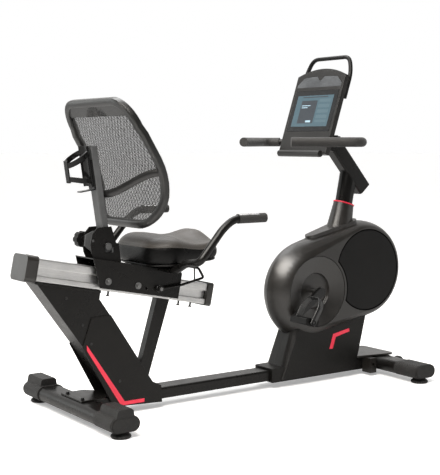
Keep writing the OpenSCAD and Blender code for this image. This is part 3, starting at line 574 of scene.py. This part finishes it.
def cushion_rim():
    """How far the CAD pad reaches from its middle, all the way round."""
    tree = tree_of(nodes["seat_pad"].data)
    reach = []
    for k in range(TURNS):
        a = math.tau * k / TURNS
        way = Vector((math.cos(a), math.sin(a), 0))
        start = PAD @ (way * 0.4 + Vector((0, 0, RIM_HEIGHT)))
        hit = tree.ray_cast(start, PAD.to_3x3() @ -way)[0]
        reach.append((way, (PAD.inverted() @ hit).to_2d().length))
    return reach


def saddle_lift(spot, share, rise):
    """How far a point of the cover follows the saddle."""
    if share > 0.9:
        return BAND_RISE * rise * saddle(spot.x * 0.96, spot.y * 0.96)
    return rise * saddle(spot.x, spot.y) * (1 - CROWN_EASE * smooth_step((share - 0.72) / 0.26))


def cushion_cover(reach):
    """The cover as it is sewn: a flat underside, a side band, and a crown worked to a saddle.
    Gives its points, its faces, and the number of the seam's first point."""
    rings = [(share, z, 0) for share, z in UNDER]
    rings += [(share, z, smooth_step((z - 0.01) / 0.05))
              for share, z in BAND + ((SEAM_SHARE, SEAM_HEIGHT),)]
    seam_start = (len(rings) - 1) * TURNS
    rings += [(share, z, 1) for share, z in CROWN]
    points = []
    for share, z, rise in rings:
        for way, radius in reach:
            spot = way * radius * share
            lift = saddle_lift(spot, share, rise)
            points.append(PAD @ (spot + Vector((0, 0, z + lift))))
    under, top = len(points), len(points) + 1
    points.append(PAD @ Vector((0, 0, UNDER[0][1])))
    points.append(PAD @ Vector((0, 0, CROWN[-1][1] + saddle(0, 0))))
    faces = ring_faces(len(rings), TURNS, False)
    last = (len(rings) - 1) * TURNS
    for k in range(TURNS):
        after = (k + 1) % TURNS
        faces.append([under, after, k])
        faces.append([top, last + k, last + after])
    return points, faces, seam_start


def swell(pad, seam_start):
    """Lets the cover swell under pressure while its seam and its underside are held."""
    before = [v.co.copy() for v in pad.data.vertices]
    fixed = set(range(TURNS * len(UNDER))) | set(range(seam_start, seam_start + TURNS))
    held = pad.vertex_groups.new(name="held")
    held.add(sorted(fixed), 1.0, "REPLACE")
    cloth = pad.modifiers.new("cloth", "CLOTH")
    settings = cloth.settings
    settings.quality = 6
    settings.mass = 0.3
    settings.tension_stiffness = settings.compression_stiffness = 24
    settings.shear_stiffness = 12
    settings.bending_stiffness = 6
    settings.vertex_group_mass = "held"
    settings.use_pressure = True
    settings.uniform_pressure_force = 3
    settings.effector_weights.gravity = 0
    cloth.collision_settings.use_collision = False
    for step in range(1, SIM_FRAMES + 1):
        scene.frame_set(step)
    apply_modifiers(pad)
    scene.frame_set(1)
    mesh = pad.data
    moved = [v.co - start for v, start in zip(mesh.vertices, before)]
    for _ in range(EASE_PASSES):
        total = [m.copy() for m in moved]
        count = [1] * len(moved)
        for a, b in (edge.vertices for edge in mesh.edges):
            total[a] += moved[b]
            total[b] += moved[a]
            count[a] += 1
            count[b] += 1
        moved = [Vector() if i in fixed else t / n for i, (t, n) in enumerate(zip(total, count))]
    for v, start, move in zip(mesh.vertices, before, moved):
        v.co = start + move.normalized() * min(move.length, SWELL_CAP)


def make_piping(seam):
    """A thin cord of vinyl sewn into the seam."""
    path = [p + n * 0.0002 for p, n in seam]
    sides = 8
    rings = tube_rings(path, PIPING_RADIUS, sides, True)
    mesh = mesh_of("seat_piping", [p for ring in rings for p in ring],
                   ring_faces(len(path), sides, True))
    return new_piece("seat_piping", mesh, VINYL, "seat")


def make_stitches(pad, seam):
    """A row of stitches along the top panel, beside the piping."""
    tree = tree_of(pad.data)
    up = (PAD.to_3x3() @ Vector((0, 0, 1))).normalized()
    line = []
    for p, n in seam:
        spot, _, _, _ = tree.find_nearest(p + up * 0.007 - n * 0.002)
        line.append(spot)
    points, faces = [], []
    left = 0.0
    for a, b in zip(line, line[1:] + line[:1]):
        run = (b - a).length
        along = (b - a).normalized()
        t = left
        while t < run:
            middle = a + along * t
            ends = [middle + along * d for d in (-0.0018, -0.0012, 0.0012, 0.0018)]
            radii = (0.0002, 0.0006, 0.0006, 0.0002)
            side = along.orthogonal().normalized()
            top = along.cross(side)
            start = len(points)
            for end, radius in zip(ends, radii):
                points += [end + (side * math.cos(q) + top * math.sin(q)) * radius
                           for q in (math.tau * k / 6 for k in range(6))]
            faces += ring_faces(4, 6, False, start)
            faces += [[start + k for k in range(5, -1, -1)], [start + 18 + k for k in range(6)]]
            t += STITCH_PITCH
        left = t - run
    mesh = mesh_of("seat_stitches", points, faces)
    return new_piece("seat_stitches", mesh, THREAD, "seat")


def make_cushion():
    points, faces, seam_start = cushion_cover(cushion_rim())
    mesh = mesh_of("seat_cushion", points, faces)
    fix_normals(mesh)
    pad = new_piece("seat_cushion", mesh, VINYL, "seat")
    swell(pad, seam_start)
    mesh = pad.data
    # The side band and the underside take the shaded copy of the vinyl, as painted shade.
    mesh.materials.append(BAND_VINYL_SHADED)
    for face in mesh.polygons:
        if max(face.vertices) < seam_start + TURNS or min(face.vertices) < TURNS:
            face.material_index = 1
    seam = [(mesh.vertices[i].co.copy(), mesh.vertices[i].normal.copy())
            for i in range(seam_start, seam_start + TURNS)]
    finer = pad.modifiers.new("finer", "SUBSURF")
    finer.levels = finer.render_levels = 1
    apply_modifiers(pad)
    pad.data.shade_smooth()
    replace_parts(pad, "seat_pad")
    make_piping(seam)
    make_stitches(pad, seam)


make_cushion()

# ---------- backrest mesh ----------


def make_mesh_sheet(name, offset, material):
    """A sheet that follows the front face of the CAD mesh, stretched in the backrest's frame."""
    tree = tree_of(nodes["backrest_mesh"].data)
    low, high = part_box("backrest_mesh")
    rows, columns = 44, 40
    edge = 0.0015
    spots = {}
    points = []
    for r in range(rows + 1):
        z = low.z + (high.z - low.z) * r / rows
        z = min(max(z, low.z + edge), high.z - edge)
        reach = half_width(tree, z, high.y)
        for c in range(columns + 1):
            y = (2 * c / columns - 1) * reach
            hit = tree.ray_cast(Vector((0.3, y, z)), Vector((-1, 0, 0)))[0]
            spots[r, c] = len(points)
            points.append(hit + Vector((offset, 0, 0)))
    faces = [[spots[r, c], spots[r, c + 1], spots[r + 1, c + 1], spots[r + 1, c]]
             for r in range(rows) for c in range(columns)]
    mesh = mesh_of(name, points, faces)
    sheet = new_piece(name, mesh, material, "backrest")
    return sheet


def half_width(tree, z, widest):
    """Half the width of the mesh at that height, inside its edge."""
    reach = widest
    while reach > 0 and tree.ray_cast(Vector((0.3, reach, z)), Vector((-1, 0, 0)))[0] is None:
        reach -= 0.001
    return reach - 0.0005


MESH_FRONT = mesh_material("mesh_fabric", 0.0042, 0.47, 0.022)
MESH_BACK = mesh_material("mesh_lining", 0.0054, 0.28, 0.015)
LINING_GAP = 0.0045
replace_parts(make_mesh_sheet("backrest_sheet", 0, MESH_FRONT), "backrest_mesh")
make_mesh_sheet("backrest_lining", -LINING_GAP, MESH_BACK)

# ---------- pedal straps ----------

STRAP_HALF = 0.013      # half of a strap's width
STRAP_THICK = 0.0024
STRAP_REACH = 0.049     # from the pedal's middle to a strap's end
CORNER = 0.016          # where a strap starts to turn before a corner
RIB = 0.26              # height of a cross rib, as a share of the thickness


def strap_path(half):
    """Middle line of a strap over the foot, from one end of the pedal to the other."""
    corners = [(-half, -0.010), (-half, 0.062), (-half + 0.018, 0.096)]
    corners += [(-y, z) for y, z in reversed(corners)]
    corners = [Vector((0, y, z)) for y, z in corners]
    path = [corners[0]]
    for before, here, after in zip(corners, corners[1:], corners[2:]):
        a = here + (before - here).normalized() * CORNER
        b = here + (after - here).normalized() * CORNER
        for k in range(9):
            t = k / 8
            path.append(a * (1 - t) ** 2 + here * 2 * t * (1 - t) + b * t * t)
    return path + [corners[-1]]


def even_path(path, step):
    """The same path, with points a step apart."""
    out = [path[0]]
    left = step
    for a, b in zip(path, path[1:]):
        run = (b - a).length
        t = left
        while t < run:
            out.append(a.lerp(b, t / run))
            t += step
        left = t - run
    return out + [path[-1]]


def make_strap(side):
    """A moulded rubber strap with raised edges and cross ribs."""
    low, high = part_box("pedal_" + side)
    place = local_frame((low + high) / 2, PEDAL_TILT) @ Matrix.Rotation(STRAP_LEAN, 4, "Y")
    path = even_path(strap_path(STRAP_REACH), 0.002)
    section = [(-1, 0.5), (-0.86, 0.62), (-0.72, 0.3), (-0.4, 0.3), (0, 0.3), (0.4, 0.3),
               (0.72, 0.3), (0.86, 0.62), (1, 0.5), (1, -0.5), (0, -0.5), (-1, -0.5)]
    points, sides = [], len(section)
    for i, p in enumerate(path):
        ahead, behind = path[min(i + 1, len(path) - 1)], path[max(i - 1, 0)]
        along = (ahead - behind).normalized()
        out = Vector((1, 0, 0)).cross(along)
        rib = RIB if i % 3 == 0 else 0.0
        for u, v in section:
            rise = v + (rib if abs(u) < 0.7 and v > 0 else 0.0)
            points.append(place @ (p + Vector((u * STRAP_HALF, 0, 0)) - out * rise * STRAP_THICK))
    faces = ring_faces(len(path), sides, False)
    last = (len(path) - 1) * sides
    faces += [[k for k in range(sides - 1, -1, -1)], [last + k for k in range(sides)]]
    mesh = mesh_of("strap_" + side, points, faces)
    fix_normals(mesh)
    strap = new_piece("strap_" + side, mesh, STRAP, side + "_pedal")
    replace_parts(strap, "pedal_strap_" + side)


for side in ("right", "left"):
    make_strap(side)

# ---------- picture on the console screen ----------


def rounded_panel(name, y, z, width, height, radius, proud, material):
    """A thin rounded rectangle on the screen, seen by the rider; y and z are its middle."""
    outline = []
    for cy, cz, start in ((1, 1, 0), (-1, 1, 90), (-1, -1, 180), (1, -1, 270)):
        for k in range(7):
            a = math.radians(start + 15 * k)
            outline.append((y + cy * (width / 2 - radius) + radius * math.cos(a),
                            z + cz * (height / 2 - radius) + radius * math.sin(a)))
    count = len(outline)
    points = [CONSOLE @ Vector((-x, oy, oz)) for x in (0.0001, proud) for oy, oz in outline]
    faces = [[k for k in range(count)], [count + k for k in range(count - 1, -1, -1)]]
    faces += [[k, count + k, count + (k + 1) % count, (k + 1) % count] for k in range(count)]
    mesh = mesh_of(name, points, faces, smooth=False)
    fix_normals(mesh)
    return new_piece(name, mesh, material, "root")


SCREEN_MIDDLE = 0.069   # up the console from CONSOLE_AT
LIT = lit_material("screen_lit", (0.04, 0.07, 0.088), (0.052, 0.09, 0.112), 0.3)
LIT_SOFT = lit_material("screen_block", (0.054, 0.09, 0.11), (0.068, 0.108, 0.13), 0.3)
LIT_DARK = lit_material("screen_dark", (0.022, 0.028, 0.034), (0.034, 0.04, 0.048), 0.3)
LIT_LINE = lit_material("screen_line", (0.22, 0.34, 0.42), (0.3, 0.42, 0.5), 0.4)


def make_picture():
    """Generic blocks: a dark card on the rider's left, buttons on the right, thin bars."""
    rounded_panel("screen_field", 0, SCREEN_MIDDLE, 0.214, 0.128, 0.0015, 0.0006, LIT)
    rounded_panel("screen_card", 0.028, SCREEN_MIDDLE - 0.004, 0.094, 0.094, 0.002, 0.0008,
                  LIT_DARK)
    for i, (y, z, w) in enumerate(((0.044, 0.022, 0.052), (0.050, 0.014, 0.036))):
        rounded_panel(f"screen_bar_{i}", y, SCREEN_MIDDLE + z, w, 0.0028, 0.001, 0.0010,
                      LIT_LINE)
    rounded_panel("screen_button", 0.010, SCREEN_MIDDLE - 0.043, 0.030, 0.008, 0.002, 0.0010,
                  LIT_LINE)
    for i, z in enumerate((0.042, 0.020, -0.002, -0.024, -0.042)):
        rounded_panel(f"screen_block_{i}", -0.062, SCREEN_MIDDLE + z, 0.066,
                      0.014 if i < 4 else 0.010, 0.002, 0.0008, LIT_SOFT)
    rounded_panel("screen_top_bar", 0, SCREEN_MIDDLE + 0.057, 0.150, 0.004, 0.001, 0.0008,
                  LIT_DARK)


make_picture()

# ---------- painted shade in the groove round the flywheel covers ---

FLY_AT = Vector((0.641, 0, 0.431))
CRANK_AT = Vector((0.380, 0, 0.363))
COVER_R = 0.1628        # the groove's middle round the flywheel's cover
CUT_R = 0.1522          # and where the crank's round field cuts into it
HOUSING_HALF = 0.074
SHADE_BEAD_RADIUS = 0.0021
SHADE_BEAD_SINK = 0.0012


def make_groove_shade():
    """A near-black bead in the groove round each flywheel cover: painted shade for the shadow in
    the groove.
    """
    count = 240
    ways = [math.tau * k / count for k in range(count)]
    corners = [FLY_AT + Vector((math.cos(a), 0, math.sin(a))) * COVER_R for a in ways]
    corners = [p for p in corners if (p - CRANK_AT).length >= CUT_R]
    away = (FLY_AT - CRANK_AT).normalized()
    corners.sort(key=lambda p: math.atan2((p - FLY_AT).cross(away).y, (p - FLY_AT).dot(away)))
    first, last = corners[-1] - CRANK_AT, corners[0] - CRANK_AT
    start, turn = math.atan2(first.z, first.x), math.atan2(last.z, last.x)
    cut = [CRANK_AT + Vector((math.cos(q), 0, math.sin(q))) * CUT_R
           for q in (start + (turn - start) * k / 40 for k in range(1, 40))]
    line = even_path(corners + cut + corners[:1], 0.006)[:-1]
    sunk = HOUSING_HALF - SHADE_BEAD_SINK
    for side, y in (("right", -sunk), ("left", sunk)):
        path = [p + Vector((0, y, 0)) for p in line]
        rings = tube_rings(path, SHADE_BEAD_RADIUS, 8, True)
        mesh = mesh_of("cover_groove_shade_" + side, [p for ring in rings for p in ring],
                       ring_faces(len(path), 8, True))
        fix_normals(mesh)
        new_piece("cover_groove_shade_" + side, mesh, GROOVE_SHADE, "root")


make_groove_shade()

# ---------- floor ----------


def make_floor():
    """A pale floor so wide that its edge is never seen."""
    rings = (2, 6, 20, 90)
    count = 96
    points = [(r * math.cos(math.tau * k / count), r * math.sin(math.tau * k / count), 0)
              for r in rings for k in range(count)]
    faces = [list(range(count))] + ring_faces(len(rings), count, False)
    mesh = mesh_of("floor", points, faces, smooth=False)
    r = Recipe("floor")
    r.relief(r.noise(300, 3), 0.00008)
    seen = r.add("LightPath").outputs["Is Camera Ray"]
    pale = r.blend(r.span(r.noise(2.2, 3), 0.3, 0.7), grey(0.93), grey(0.95))
    colour = r.blend(seen, grey(0.56), pale)
    mesh.materials.append(r.done(colour, r.span(r.noise(5, 3), 0.3, 0.7, 0.8, 0.9)))
    r.shader.inputs["Emission Color"].default_value = (1, 1, 1, 1)
    r.put(r.shader.inputs["Emission Strength"], r.span(seen, 0, 1, 0.0, 0.34))
    r.shader.inputs["Specular IOR Level"].default_value = 0.15
    floor = bpy.data.objects.new("floor", mesh)
    floor.location.z = -0.0005
    scene.collection.objects.link(floor)


make_floor()
